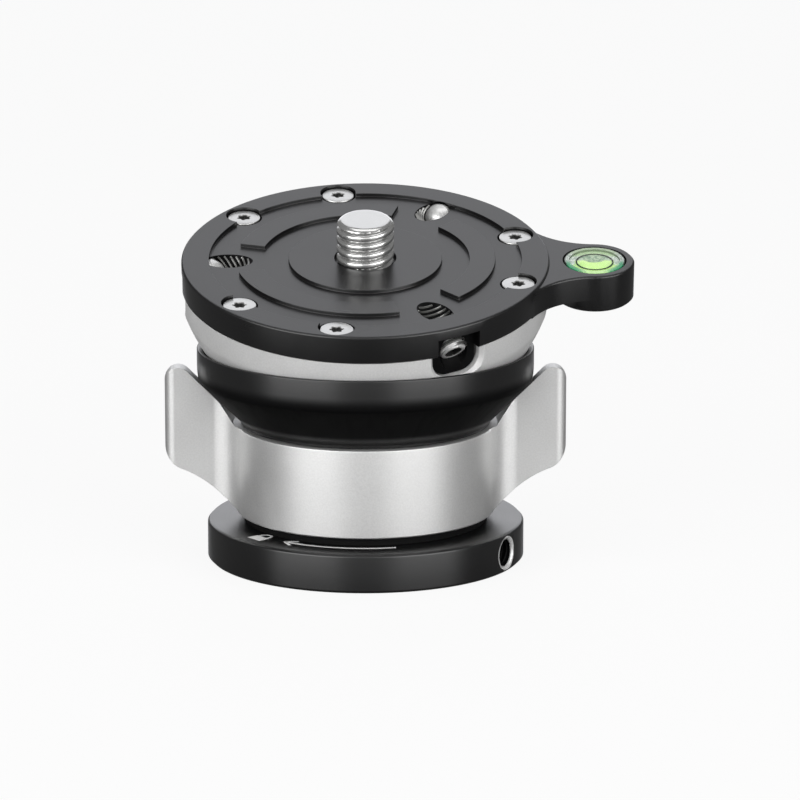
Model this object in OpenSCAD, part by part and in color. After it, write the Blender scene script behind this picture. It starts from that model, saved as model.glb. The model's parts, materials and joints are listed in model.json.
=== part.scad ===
// Leveling base: a half ball held in a bowl, clamped by a ring with two finger wings.
// The origin is the centre of the base plate's underside, and +Z is up.

/* [Base plate] */
// Diameter of the base plate
base_d = 52; // [50:0.5:62]
// Height of the base plate
base_h = 6.4; // [6:0.1:10]
// Chamfer on the base plate's edges
base_chamfer = 0.5; // [0.2:0.1:0.8]
// Diameter of the tripod hole's wall
tripod_hole_d = 7.94; // [5.1:0.01:7.94]
// Wall of the tripod insert
insert_wall = 3; // [2:0.1:3.4]
// Overhang of the tripod insert's flange
insert_flange_w = 1.2; // [0.8:0.1:1.5]
// Height of the tripod insert's flange
insert_flange_h = 1.6; // [1:0.1:2]
// Diameter of the set screw in the base plate's side
base_set_d = 4.3; // [3:0.1:5]
// Length of the base plate's set screw
base_set_len = 10; // [6:0.5:11]
// Depth of the set screw's outer end inside the base plate's side
base_set_recess = 5; // [3:0.5:6]
// Angle of the set screw round the base plate
base_set_angle = -28; // [-45:1:-15]
// Width across the flats of the set screw's socket
base_set_key = 2; // [1.3:0.1:2.5]

/* [Lock ring] */
// Diameter of the lock ring
ring_d = 42.4; // [41:0.1:46]
// Height of the lock ring
ring_h = 14.65; // [14:0.05:20]
// Wall of the lock ring
ring_wall = 3; // [2:0.1:3.4]
// Chamfer on the lock ring's edges
ring_chamfer = 0.3; // [0.1:0.1:0.6]
// Thickness of the web inside the lock ring
web_h = 3; // [2:0.1:3.4]
// Height of the web above the lock ring's lower edge
web_rise = 2.7; // [2.2:0.1:3.2]
// Gap between the base plate and the lock ring
neck_h = 1.35; // [1:0.05:3]
// Inset of the lower thrust washer from the lock ring's side
neck_inset = 1.2; // [0.5:0.1:2]
// Turn of the lock ring from locked to free, in degrees
lock_travel = 70; // [30:1:75]
// Diameter of the posts that carry the bowl
post_d = 6; // [5:0.1:6.4]
// Diameter of the screws through the posts
post_screw_d = 3; // [2.5:0.1:3.2]
// Diameter of the post screws' heads
post_head_d = 5.8; // [5:0.1:7]
// Length of the post screws' thread in the bowl
post_screw_grip = 4; // [2.5:0.1:4.5]

/* [Wings] */
// Distance across the tips of the two wings
wing_span = 65.8; // [62:0.2:70]
// Thickness of a wing
wing_t = 3.4; // [2:0.1:4.5]
// Clearance between a wing's upper edge and the bowl's flare
wing_gap = 0.3; // [0.2:0.05:0.8]
// Slope of the relief that clears the bowl at a wing's root, in degrees
wing_relief_slope = 58; // [54:1:70]
// Step from the lock ring's side out to that relief's foot
wing_relief_step = 0.5; // [0.2:0.1:1]
// Slope of a wing's lower edge at its foot, in degrees
wing_low_slope = 40.5; // [36:0.5:42]
// Height of a wing's lower edge above the lock ring's lower edge
wing_foot = 0.85; // [0.4:0.05:2]
// Rise of the arch in a wing's lower edge
wing_arch = 1.3; // [0.6:0.1:1.6]
// Radius of that arch
wing_arch_r = 19; // [12:0.5:26]
// Corner radius at the top of a wing
wing_top_r = 2.2; // [1:0.1:2.5]
// Corner radius at the bottom of a wing
wing_low_r = 4.3; // [3:0.1:4.6]
// Fillet between a wing and the lock ring
wing_fillet = 5.2; // [2:0.1:6]

/* [Bowl] */
// Height of the bowl above the lock ring
bowl_h = 12.6; // [12:0.1:13.5]
// Gap between the lock ring and the bowl
ring_gap = 0.2; // [0.1:0.05:0.6]
// Step from the lock ring's side in to the bowl's neck
neck_step = 0.7; // [0.3:0.1:1.5]
// Height of the bowl's straight neck
neck_band = 0.5; // [0.3:0.1:1]
// Slope of the bowl's flare, in degrees
flare_slope = 44.5; // [43:0.5:46]
// Height of the bowl's straight rim
rim_band = 2.9; // [2:0.1:4]
// Radius of the bowl's belly, between its flare and its straight rim
belly_r = 12; // [8:0.5:30]
// Width of the bowl's lip outside its seat
rim_lip = 0.7; // [0.5:0.05:1]
// Chamfer on both edges of the lip
lip_chamfer = 0.25; // [0.1:0.05:0.3]
// Depth of the seat's lowest point below the bowl's neck
seat_sink = 2.25; // [1.8:0.05:2.8]
// Clearance between the ball and its seat
seat_gap = 0.15; // [0.1:0.05:0.3]
// Inner diameter of the seat ring under the ball
seat_ring_d = 29; // [28:0.5:31]
// Width of the seat ring
seat_ring_w = 3; // [2:0.1:3.2]
// Height of the seat ring at its inner edge
seat_ring_h = 1.2; // [0.8:0.1:1.6]

/* [Clamp] */
// Diameter of the draw bolt's shank
bolt_d = 8; // [6:0.1:8.4]
// Diameter of the draw bolt's head
bolt_head_d = 15; // [12:0.1:17]
// Height of the draw bolt's head
bolt_head_h = 3.5; // [2.5:0.1:4]
// Space between the tripod insert and the draw bolt's end
bolt_end_gap = 1; // [0.6:0.1:2]
// Width across the flats of the lock nut
nut_key = 12; // [11:0.1:13]
// Diameter of the lock nut's flange
nut_flange_d = 17; // [15:0.1:18]
// Height of the lock nut's flange
nut_flange_h = 1.2; // [0.8:0.1:1.6]
// Thickness of one disc spring
spring_t = 0.4; // [0.3:0.05:0.5]
// Cone height of one disc spring
spring_cone = 0.2; // [0.1:0.05:0.3]
// Thickness of the upper thrust washer
thrust_t = 1; // [0.6:0.1:1.4]
// Diameter of the pin that keys the draw bolt
key_pin_d = 1.6; // [1.2:0.1:1.8]
// Depth of the draw bolt's keyway
keyway_h = 1.2; // [0.8:0.1:1.6]
// Thickness of the clamp dome's hub
dome_hub_h = 5; // [4:0.1:6]
// Thickness of the washer under the draw bolt's head
dome_washer_h = 1; // [0.6:0.1:1.5]
// Thickness of the friction liner between the dome and the ball
liner_t = 1.2; // [0.8:0.1:1.6]
// Clearance on each side of the friction liner
liner_gap = 0.15; // [0.1:0.05:0.3]

/* [Ball] */
// How much wider the half ball is than the top plate
ball_over = 3.2; // [1.5:0.1:8]
// Wall of the half ball
ball_wall = 5.6; // [5:0.1:6]
// Amount trimmed off the ball's lowest point
ball_trim = 3.1; // [2.8:0.1:4]
// Largest tilt of the head from level, in degrees
tilt_limit = 15; // [8:1:16]
// Tilt of the head as it stands, towards the front, in degrees
tilt_rest = 14; // [-15:1:15]
// Inset of the ball's side from the top plate's side
ball_inset = 0.3; // [0.1:0.1:0.8]
// Chamfer on the edges of the ball's notches
notch_chamfer = 1; // [0.4:0.1:1.2]

/* [Top plate] */
// Diameter of the top plate
plate_d = 60; // [58:0.5:61]
// Thickness of the top plate
plate_h = 4.8; // [4:0.1:5.6]
// Depth of the top plate's upper face below the ball's centre
plate_drop = 2.5; // [1.5:0.1:3]
// Chamfer on the edges of the top plate and its lobe
plate_chamfer = 0.35; // [0.2:0.05:0.6]
// Depth of the grooves in the upper face
groove_h = 0.6; // [0.3:0.1:1]
// Width of the raised rim
rim_w = 4.5; // [3.8:0.1:5]
// Inner diameter of the raised arc pads
pad_in_d = 34; // [32:0.5:38]
// Outer diameter of the raised arc pads
pad_out_d = 42.4; // [40:0.2:46]
// Angle of the gap between two pads
pad_gap = 30; // [24:1:50]
// Diameter of the raised centre
hub_d = 25; // [18:0.5:30]

/* [Plate screws] */
// Diameter of the plate screws
plate_screw_d = 3; // [2.5:0.1:3.2]
// Length of the plate screws under their heads
plate_screw_len = 7; // [5:0.5:7.5]
// Diameter of the plate screws' heads
plate_head_d = 5.4; // [5:0.1:5.8]
// Height of the plate screws' heads
plate_head_h = 1.6; // [1.2:0.1:1.8]
// Depth of the heads below the upper face
plate_head_recess = 0.45; // [0.2:0.05:0.6]
// Clearance round the heads
plate_head_gap = 0.25; // [0.1:0.05:0.4]
// Distance of the plate screws from the top plate's side
plate_screw_edge = 3.7; // [3.4:0.1:4]
// Angle of each plate screw from its pad's middle
plate_screw_spread = 20; // [12:1:30]
// Width across the flats of the plate screws' sockets
plate_screw_key = 2; // [1.5:0.1:2.5]

/* [Security screws] */
// Diameter of the security screws
tip_d = 4.9; // [4:0.1:5]
// Length of the security screws
tip_len = 6; // [4.5:0.1:7]
// Slope of the security screws, in degrees
tip_slope = 40; // [36:1:46]
// Depth of their outer ends below the upper face
tip_depth = 5.4; // [5:0.1:6]
// Width across the flats of their sockets
tip_key = 2.5; // [2:0.1:2.6]
// Width of the lugs that hold the security screws
lug_w = 8.3; // [7.4:0.1:9]
// Length of the lugs along the radius
lug_len = 4; // [3:0.1:4.4]
// Distance of the lugs' faces from the top plate's side
lug_inset = 2; // [1.2:0.1:2.2]
// Depth of the lugs' lower ends below the upper face
lug_depth = 8.9; // [8.6:0.1:9.4]
// Corner radius of the lugs' lower ends
lug_corner_r = 3; // [2:0.1:3.6]
// Clearance round the lugs in the ball
lug_gap = 0.2; // [0.2:0.05:0.5]
// Width of the top plate's side pockets over the lugs
pocket_w = 7.6; // [6.6:0.1:8]
// Height of plate left above the side pockets
notch_cover = 1.8; // [1.2:0.1:2.4]

/* [Spirit level] */
// Distance of the vial's centre from the top plate's side
lobe_out = 7.4; // [6.8:0.1:8.4]
// Diameter of the vial's lobe
lobe_d = 13; // [12:0.1:13.4]
// Height of the vial's lobe
lobe_h = 6.4; // [5.6:0.1:6.8]
// Step from the upper face down to the lobe
lobe_drop = 0.5; // [0.3:0.1:1]
// Fillet between the lobe and the top plate
lobe_fillet = 12; // [6:0.5:12]
// Diameter of the vial
vial_d = 10; // [9:0.1:10.4]
// Height of the vial
vial_h = 4.6; // [4:0.1:5]
// Clearance round the vial
vial_gap = 0.2; // [0.1:0.05:0.3]
// Wall of the vial's clear cap
vial_wall = 0.8; // [0.6:0.1:1.2]
// Thickness of the cap's window
vial_window = 0.3; // [0.2:0.05:1]
// Thickness of the pale backing disc
vial_back_h = 0.8; // [0.5:0.1:1]
// Outer diameter of the ring mark
mark_d = 6.2; // [4:0.1:6.6]
// Width of the ring mark's line
mark_w = 0.25; // [0.15:0.05:0.5]
// Thickness of the ring mark
mark_h = 0.1; // [0.05:0.05:0.2]

/* [Camera stud] */
// Diameter of the camera stud
stud_d = 9.525; // [6.35:0.005:9.525]
// Depth of the camera stud's thread
stud_thread_h = 0.8; // [0.5:0.05:1]
// Height of the camera stud above the upper face
stud_up = 6.9; // [5:0.1:9]
// Chamfer on the camera stud's top
stud_chamfer = 0.9; // [0.4:0.1:1.2]
// Width of the recess round the camera stud's foot
stud_foot_w = 0.3; // [0.3:0.05:0.8]
// Depth of the recess round the camera stud's foot
stud_foot_h = 0.8; // [0.4:0.1:1.2]
// Length of the camera stud below the jam nut
stud_tail = 0.6; // [0.2:0.1:1]
// Width across the flats of the jam nut
stud_nut_key = 14.3; // [12:0.1:14.6]
// Height of the jam nut
stud_nut_h = 3.6; // [2.5:0.1:4]

/* [Hidden] */
$fn = 96;
// Overshoot of a cut past a face
cut = 0.1;
// Radial clearance of a sliding or turning fit
slide_fit = 0.05;
// Radial clearance of a pressed or threaded fit
press_fit = 0.02;
// Axial play of a thrust face
thrust_play = 0.05;
// Clearance of the posts in the ring's slots
slot_play = 0.3;
// Spare turn past each end of the lock ring's travel
stop_slack = 1;
// Overcut that lets a round run into a wall at a slight angle, and not along a bare line
blend_step = 0.02;
// Chamfer on both ends of a set screw
set_chamfer = 0.5;
// Spare tilt past the limit that the ball's mouth leaves
tilt_spare = 1;

post_angles = [30, 150, 270];
pad_angles = [0, 120, 240];
lug_angles = [60, 180, 300];

// Base plate and tripod insert
base_r = base_d / 2;
insert_r = tripod_hole_d / 2 + insert_wall;
insert_flange_r = insert_r + insert_flange_w;
insert_top = base_h + insert_flange_h;
base_set_z = base_h / 2;
base_set_out = base_r - base_set_recess;
base_set_bore_r = base_set_d / 2 + slide_fit;

// Lock ring, from the base plate up
ring_r = ring_d / 2;
ring_bore_r = ring_r - ring_wall;
ring_z = base_h + neck_h;
ring_top = ring_z + ring_h;
web_z = ring_z + web_rise;
web_top = web_z + web_h;
nut_flange_r = nut_flange_d / 2;
nut_flange_top = web_top + nut_flange_h;
spring_in_r = bolt_d / 2 + slot_play;
spring_out_r = nut_flange_r - slot_play;
spring_pack_h = 2 * (spring_t + spring_cone) + press_fit;
thrust_z = nut_flange_top + spring_pack_h + 2 * thrust_play;
post_circle_r = (ring_bore_r + nut_flange_r) / 2;
slot_w = post_d + 2 * slot_play;

// Bowl and ball centre
spigot_z = thrust_z + thrust_t;
spigot_r = ring_bore_r - slide_fit;
bowl_z = ring_top + ring_gap;
neck_r = ring_r - neck_step;
rim_z = bowl_z + bowl_h;
ball_r = (plate_d + ball_over) / 2;
seat_r = ball_r + seat_gap;
seat_z = bowl_z - seat_sink;
ball_z = seat_z + seat_r;
lip_r = sqrt(pow(seat_r, 2) - pow(ball_z - rim_z, 2));
rim_r = lip_r + rim_lip;
belly_z = rim_z - rim_band;
seat_ring_r = seat_ring_d / 2;
seat_groove_z = ball_z - sqrt(pow(seat_r, 2) - pow(seat_ring_r, 2)) - seat_ring_h;
seat_groove_top = ball_z - sqrt(pow(seat_r, 2) - pow(seat_ring_r + 2 * seat_ring_w, 2));
key_pin_z = (spigot_z + seat_z) / 2;
key_pin_in = bolt_d / 2 - keyway_h + press_fit;

// Wings, which follow the bowl's flare
wing_tip = wing_span / 2;
wing_top_x = wing_tip - wing_top_r;
wing_top_c = [
    wing_top_x,
    bowl_z + neck_band + (wing_top_x - neck_r) * tan(flare_slope) - (wing_gap + wing_top_r) / cos(flare_slope)
];
wing_top = wing_top_c[1] + wing_top_r;
wing_h = wing_top - ring_top;
relief_r = ring_r + wing_relief_step;

// Top plate, as depths below the ball's centre and radii from the plate's axis
plate_r = plate_d / 2;
plate_low = plate_drop + plate_h;
groove_low = plate_drop + groove_h;
plate_screw_r = plate_r - plate_screw_edge;
plate_head_low = plate_drop + plate_head_recess + plate_head_h;
lug_face_r = plate_r - lug_inset;
lug_low = plate_drop + lug_depth;
tip_low = plate_drop + tip_depth;
tip_bore_r = tip_d / 2 + slide_fit;
lobe_x = plate_r + lobe_out;
lobe_r = lobe_d / 2;
lobe_top = plate_drop + lobe_drop;
lobe_low = lobe_top + lobe_h;
vial_r = vial_d / 2;
vial_low = lobe_top + vial_h;
window_low = lobe_top + vial_window;
fluid_r = vial_r - vial_wall - press_fit;
stud_root_r = stud_d / 2 - stud_thread_h;

// Half ball and what works inside it
ball_clip_r = plate_r - ball_inset;
ball_cut = ball_r - ball_trim;
cavity_r = ball_r - ball_wall;
flange_in_r = plate_screw_r - plate_screw_d;
cavity_top = sqrt(pow(cavity_r, 2) - pow(flange_in_r, 2)) + slot_play;
mouth_tilt = tilt_limit + tilt_spare;
mouth_r = ball_cut * tan(mouth_tilt) + bolt_d / 2 / cos(mouth_tilt) + slide_fit;
liner_r = cavity_r - liner_gap;
dome_r = liner_r - liner_t - liner_gap;
dome_angle = atan(flange_in_r / cavity_top) - mouth_tilt - tilt_spare;
dome_low = dome_r * cos(dome_angle);
dome_hub_low = dome_r - dome_hub_h;
liner_edge = liner_r * cos(dome_angle);
dome_pocket_r = bolt_head_d / 2 + 2 * dome_washer_h;

// Draw bolt
bolt_r = bolt_d / 2;
bolt_z = insert_top + bolt_end_gap;
bolt_head_z = ball_z - dome_hub_low + dome_washer_h;

// A solid of revolution about Z from its half section
module turned(points) {
    rotate_extrude() polygon(points);
}

// A disc or ring between two heights
module ring(outer_r, inner_r, low, high) {
    difference() {
        translate([0, 0, low]) cylinder(r = outer_r, h = high - low);
        translate([0, 0, low - cut]) cylinder(r = inner_r, h = high - low + 2 * cut);
    }
}

// A hexagonal prism of a given width across its flats
module hexagon(across, h) {
    cylinder(d = across / cos(30), h = h, $fn = 6);
}

// A set screw along +Z, with its socket at the origin
module set_screw(d, len, key) {
    r = d / 2;
    difference() {
        turned([
            [0, 0], [r - set_chamfer, 0], [r, set_chamfer],
            [r, len - set_chamfer], [r - set_chamfer, len], [0, len]
        ]);
        translate([0, 0, -cut]) hexagon(key, key + cut);
    }
}

// Copies at each of a list of angles about Z
module around(angles) {
    for (a = angles) rotate([0, 0, a]) children();
}

// Places a piece that moves with the head: its origin is the ball's centre
module in_head() {
    translate([0, 0, ball_z]) rotate([tilt_rest, 0, 0]) children();
}

// Places a set screw in the base plate's side, pointing at the axis
module at_base_set(out) {
    rotate([0, 0, base_set_angle]) translate([out, 0, base_set_z]) rotate([0, -90, 0]) children();
}

// Places a security screw in its lug, pointing up and in
module at_tip(angle) {
    rotate([0, 0, angle]) translate([lug_face_r, 0, -tip_low]) rotate([0, tip_slope - 90, 0]) children();
}

module at_posts() {
    around(post_angles) translate([post_circle_r, 0, 0]) children();
}

module at_plate_screws() {
    around([for (a = pad_angles, side = [-1, 1]) a + side * plate_screw_spread])
        translate([plate_screw_r, 0, 0]) children();
}

// Countersunk head of a post screw, flush with the base plate's underside
module post_head(gap) {
    head_r = post_head_d / 2 + gap;
    shank_r = post_screw_d / 2 + gap;
    turned([[0, -gap], [head_r, -gap], [shank_r, head_r - shank_r], [0, head_r - shank_r]]);
}

module base_plate() color("#222325") {
    difference() {
        turned([
            [0, 0], [base_r - base_chamfer, 0], [base_r, base_chamfer],
            [base_r, base_h - base_chamfer], [base_r - base_chamfer, base_h], [0, base_h]
        ]);
        translate([0, 0, -cut]) cylinder(r = insert_r + press_fit, h = base_h + 2 * cut);
        at_posts() post_head(press_fit);
        at_posts() cylinder(r = post_screw_d / 2 + press_fit, h = base_h + cut);
        at_base_set(base_r + cut) cylinder(r = base_set_bore_r, h = base_r);
        at_base_set(base_r + cut) cylinder(
            r1 = base_set_bore_r + base_chamfer + cut, r2 = base_set_bore_r, h = base_chamfer + cut);
    }
}

module tripod_insert() color("#b9bbbd") {
    difference() {
        turned([
            [0, 0], [insert_r, 0], [insert_r, base_h],
            [insert_flange_r, base_h], [insert_flange_r, insert_top], [0, insert_top]
        ]);
        translate([0, 0, -cut]) cylinder(d = tripod_hole_d, h = insert_top + 2 * cut);
        at_base_set(insert_r + cut) cylinder(r = base_set_bore_r, h = insert_r);
    }
}

module base_set_screw() color("#8d9093") {
    at_base_set(base_set_out) set_screw(base_set_d, base_set_len, base_set_key);
}

module lower_thrust_washer() color("#161616") {
    ring(ring_r - neck_inset, ring_bore_r - neck_inset, base_h, ring_z - thrust_play);
}

module spacer_posts() color("#9a9c9f") {
    at_posts() ring(post_d / 2, post_screw_d / 2 + press_fit, base_h, spigot_z);
}

module base_screws() color("#a7a9ac") {
    at_posts() {
        post_head(0);
        cylinder(d = post_screw_d, h = spigot_z + post_screw_grip);
    }
}

// A slot of the lock ring's web, from where its post stands when locked to where it stands when free
module post_slot() {
    start = -lock_travel - stop_slack;
    turn = lock_travel + 2 * stop_slack;
    low = web_z - cut;
    h = web_h + 2 * cut;
    rotate([0, 0, start]) rotate_extrude(angle = turn)
        translate([post_circle_r - slot_w / 2, low]) square([slot_w, h]);
    around([start, start + turn]) translate([post_circle_r, 0, low])
        cylinder(d = slot_w - 2 * blend_step, h = h);
}

// A wing seen from above: a flat blade with a round tip, filleted into the lock ring
module wing_plan() {
    half = wing_t / 2;
    tip_x = wing_tip - half;
    fillet_y = half + wing_fillet;
    fillet_x = sqrt(pow(ring_r + wing_fillet, 2) - pow(fillet_y, 2));
    root_y = fillet_y * ring_r / (ring_r + wing_fillet);
    translate([ring_bore_r, -half]) square([tip_x - ring_bore_r, wing_t]);
    translate([tip_x, 0]) circle(d = wing_t);
    difference() {
        translate([ring_bore_r, -root_y]) square([fillet_x - ring_bore_r, 2 * root_y]);
        for (side = [-1, 1]) translate([fillet_x, side * fillet_y]) circle(r = wing_fillet + blend_step);
    }
}

// A wing seen from the front: its upper edge follows the bowl's flare, and its lower edge is arched
module wing_front() {
    along = [cos(wing_low_slope), sin(wing_low_slope)];
    foot = [ring_r, ring_z + wing_foot];
    low_x = wing_tip - wing_low_r;
    low_c = [low_x, foot[1] + ((low_x - ring_r) * along[1] + wing_low_r - wing_arch) / along[0]];
    reach = wing_arch_r + wing_low_r;
    arch_start = foot + ((low_c - foot) * along - sqrt(pow(reach, 2) - pow(reach - wing_arch, 2))) * along;
    arch_c = arch_start + wing_arch_r * [along[1], -along[0]];
    top_edge = wing_top_c + wing_top_r * [-sin(flare_slope), cos(flare_slope)];
    difference() {
        polygon([
            [ring_bore_r, max(foot[1] - ring_wall * tan(wing_low_slope), ring_z)], foot, arch_start,
            low_c + (arch_c - low_c) * wing_low_r / reach, low_c, [wing_tip, low_c[1]],
            [wing_tip, wing_top_c[1]], wing_top_c, top_edge,
            [ring_bore_r, top_edge[1] - (top_edge[0] - ring_bore_r) * tan(flare_slope)]
        ]);
        translate(arch_c) circle(r = wing_arch_r + blend_step);
    }
    translate(wing_top_c) circle(r = wing_top_r);
    translate(low_c) circle(r = wing_low_r);
}

module wing() {
    intersection() {
        translate([0, 0, ring_z]) linear_extrude(wing_top - ring_z + cut) wing_plan();
        translate([0, ring_r, 0]) rotate([90, 0, 0]) linear_extrude(ring_d) wing_front();
    }
}

module lock_ring() color("#c9cacb") {
    difference() {
        union() {
            turned([
                [0, ring_z], [ring_r - ring_chamfer, ring_z], [ring_r, ring_z + ring_chamfer],
                [ring_r, ring_top - ring_chamfer], [ring_r - ring_chamfer, ring_top], [0, ring_top]
            ]);
            around([0, 180]) wing();
        }
        translate([0, 0, ring_top])
            cylinder(r1 = relief_r, r2 = relief_r + wing_h / tan(wing_relief_slope), h = wing_h);
        translate([0, 0, web_top]) cylinder(r = ring_bore_r, h = ring_h + wing_h);
        translate([0, 0, ring_z - cut]) cylinder(r = ring_bore_r, h = web_rise + cut);
        translate([0, 0, web_z - cut]) hexagon(nut_key + 2 * press_fit, web_h + 2 * cut);
        around(post_angles) post_slot();
    }
}

module lock_nut() color("#b08d57") {
    difference() {
        union() {
            translate([0, 0, web_z]) hexagon(nut_key, web_h);
            translate([0, 0, web_top]) cylinder(r = nut_flange_r, h = nut_flange_h);
        }
        translate([0, 0, web_z - cut]) cylinder(r = bolt_r + slide_fit, h = web_h + nut_flange_h + 2 * cut);
    }
}

module disc_springs() color("#6f7276") {
    low = nut_flange_top + thrust_play;
    mid = low + spring_cone + spring_t;
    turned([
        [spring_in_r, low + spring_cone], [spring_out_r, low],
        [spring_out_r, low + spring_t], [spring_in_r, mid]
    ]);
    translate([0, 0, press_fit]) turned([
        [spring_in_r, mid], [spring_out_r, mid + spring_cone],
        [spring_out_r, mid + spring_cone + spring_t], [spring_in_r, mid + spring_t]
    ]);
}

module upper_thrust_washer() color("#7d6a45") {
    ring(nut_flange_r, spring_in_r, thrust_z, spigot_z);
}

// The bowl's outer half section: a neck, a flare, a belly and a straight rim with a chamfered lip
module bowl_section() {
    intersection() {
        polygon([
            [0, spigot_z], [spigot_r, spigot_z], [spigot_r, bowl_z], [neck_r, bowl_z],
            [neck_r, bowl_z + neck_band], [rim_r, bowl_z + neck_band + (rim_r - neck_r) * tan(flare_slope)],
            [rim_r, rim_z - lip_chamfer], [rim_r - lip_chamfer, rim_z], [0, rim_z]
        ]);
        union() {
            translate([0, belly_z]) square([rim_r, rim_band]);
            translate([0, spigot_z]) square([rim_r - belly_r, belly_z - spigot_z]);
            translate([rim_r - belly_r, belly_z]) circle(r = belly_r);
        }
    }
}

module bowl() color("#222325") {
    difference() {
        rotate_extrude() bowl_section();
        translate([0, 0, ball_z]) sphere(r = seat_r);
        translate([0, 0, rim_z - lip_chamfer])
            cylinder(r1 = lip_r, r2 = lip_r + lip_chamfer + cut, h = lip_chamfer + cut);
        translate([0, 0, spigot_z - cut]) cylinder(r = bolt_r + slide_fit, h = bowl_h);
        at_posts() translate([0, 0, spigot_z - cut])
            cylinder(r = post_screw_d / 2 + press_fit, h = post_screw_grip + press_fit + cut);
        ring(seat_ring_r + seat_ring_w + slide_fit, seat_ring_r - slide_fit, seat_groove_z, seat_groove_top);
        rotate([0, 0, 90]) translate([0, 0, key_pin_z]) rotate([0, 90, 0])
            cylinder(d = key_pin_d + 2 * press_fit, h = ring_r);
    }
}

module seat_ring() color("#e4e1d6") {
    difference() {
        ring(seat_ring_r + seat_ring_w, seat_ring_r, seat_groove_z + thrust_play, seat_groove_top);
        translate([0, 0, ball_z]) sphere(r = ball_r + slide_fit);
    }
}

module bolt_key_pin() color("#8d9093") {
    rotate([0, 0, 90]) translate([key_pin_in, 0, key_pin_z]) rotate([0, 90, 0])
        cylinder(d = key_pin_d, h = spigot_r - neck_inset - key_pin_in);
}

module draw_bolt() color("#a7a9ac") {
    difference() {
        union() {
            translate([0, 0, bolt_z]) cylinder(r = bolt_r, h = bolt_head_z - bolt_z + cut);
            translate([0, 0, bolt_head_z]) cylinder(d = bolt_head_d, h = bolt_head_h);
        }
        rotate([0, 0, 90]) translate([bolt_r - keyway_h, -key_pin_d / 2 - slide_fit, key_pin_z - key_pin_d])
            cube([bolt_r, key_pin_d + 2 * slide_fit, 2 * key_pin_d]);
        translate([0, 0, bolt_head_z + bolt_head_h / 2]) hexagon(bolt_r, bolt_head_h);
    }
}

module clamp_dome() color("#b4b6b8") {
    translate([0, 0, ball_z]) difference() {
        intersection() {
            sphere(r = dome_r);
            translate([0, 0, -dome_r]) cylinder(r = dome_r, h = dome_r - dome_low);
        }
        translate([0, 0, -dome_r]) cylinder(r = bolt_r + slide_fit, h = dome_r);
        translate([0, 0, -dome_hub_low]) cylinder(r = dome_pocket_r, h = dome_r);
    }
}

module dome_washer() color("#8d9093") {
    ring(bolt_head_d / 2 + dome_washer_h, bolt_r + slide_fit, ball_z - dome_hub_low, bolt_head_z);
}

module ball_liner() color("#e4e1d6") {
    in_head() difference() {
        intersection() {
            sphere(r = liner_r);
            translate([0, 0, -liner_r]) cylinder(r = liner_r, h = liner_r - liner_edge);
        }
        sphere(r = liner_r - liner_t);
        translate([0, 0, -ball_r]) cylinder(r = mouth_r, h = ball_r);
    }
}

// A lug along +X between two radii, grown by a clearance: straight sides and a flat end with round corners
module lug(grow, from, to, top) {
    w = lug_w + 2 * grow;
    r = lug_corner_r + grow;
    low = lug_low + grow;
    translate([from, -w / 2, r - low]) cube([to - from, w, low - r - top]);
    translate([from, r - w / 2, -low]) cube([to - from, w - 2 * r, low - top]);
    for (side = [-1, 1]) translate([from, side * (w / 2 - r), r - low]) rotate([0, 90, 0])
        cylinder(r = r, h = to - from);
}

// The chamfer that opens a notch towards the ball's side
module notch_mouth() {
    w = lug_w + 2 * lug_gap;
    r = lug_corner_r + lug_gap;
    corner = r - lug_low - lug_gap;
    reach = notch_chamfer + ball_inset;
    translate([ball_clip_r - notch_chamfer, 0, corner]) {
        for (side = [-1, 1]) translate([0, side * (w / 2 - r), 0]) rotate([0, 90, 0])
            cylinder(r1 = r, r2 = r + reach, h = reach);
        translate([0, w / 2 - r, 0]) rotate([90, 0, 0]) linear_extrude(w - 2 * r)
            polygon([[0, 0], [0, -r], [reach, -r - reach], [reach, 0]]);
        linear_extrude(-corner)
            polygon([[0, -w / 2], [reach, -w / 2 - reach], [reach, w / 2 + reach], [0, w / 2]]);
    }
}

module half_ball() color("#cfd0d1") {
    in_head() difference() {
        intersection() {
            sphere(r = ball_r);
            translate([0, 0, -ball_cut]) cylinder(r = ball_clip_r, h = ball_cut - plate_low);
        }
        intersection() {
            sphere(r = cavity_r);
            translate([0, 0, -ball_r]) cylinder(r = ball_r, h = ball_r - cavity_top);
        }
        translate([0, 0, -cavity_top - cut]) cylinder(r = flange_in_r, h = cavity_top);
        translate([0, 0, -ball_r]) cylinder(r = mouth_r, h = ball_r);
        around(lug_angles) {
            lug(lug_gap, flange_in_r - lug_gap, ball_r, 0);
            notch_mouth();
        }
        at_plate_screws() translate([0, 0, -plate_head_low - plate_screw_len - press_fit])
            cylinder(r = plate_screw_d / 2 + press_fit, h = plate_screw_len);
    }
}

// The lobe's neck: a web with concave fillets between the top plate and the lobe, chamfered above
module lobe_neck() {
    web_deep = plate_low - lobe_top;
    reach = plate_r + lobe_fillet;
    away = lobe_r + lobe_fillet;
    fillet_x = (pow(reach, 2) + pow(lobe_x, 2) - pow(away, 2)) / (2 * lobe_x);
    fillet_y = sqrt(pow(reach, 2) - pow(fillet_x, 2));
    plate_touch = [fillet_x, fillet_y] * (plate_r - lobe_drop) / reach;
    lobe_touch = [lobe_x, 0] + [fillet_x - lobe_x, fillet_y] * (lobe_r - lobe_drop) / away;
    half = [plate_touch, [fillet_x, fillet_y], lobe_touch];
    translate([0, 0, -plate_low]) difference() {
        linear_extrude(web_deep) polygon([for (p = half) p, for (i = [2:-1:0]) [half[i][0], -half[i][1]]]);
        for (side = [-1, 1]) translate([fillet_x, side * fillet_y, 0]) {
            translate([0, 0, -cut]) cylinder(r = lobe_fillet + blend_step, h = web_deep + 2 * cut);
            translate([0, 0, web_deep - plate_chamfer])
                cylinder(r1 = lobe_fillet, r2 = lobe_fillet + 2 * plate_chamfer, h = 2 * plate_chamfer);
        }
    }
}

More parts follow.
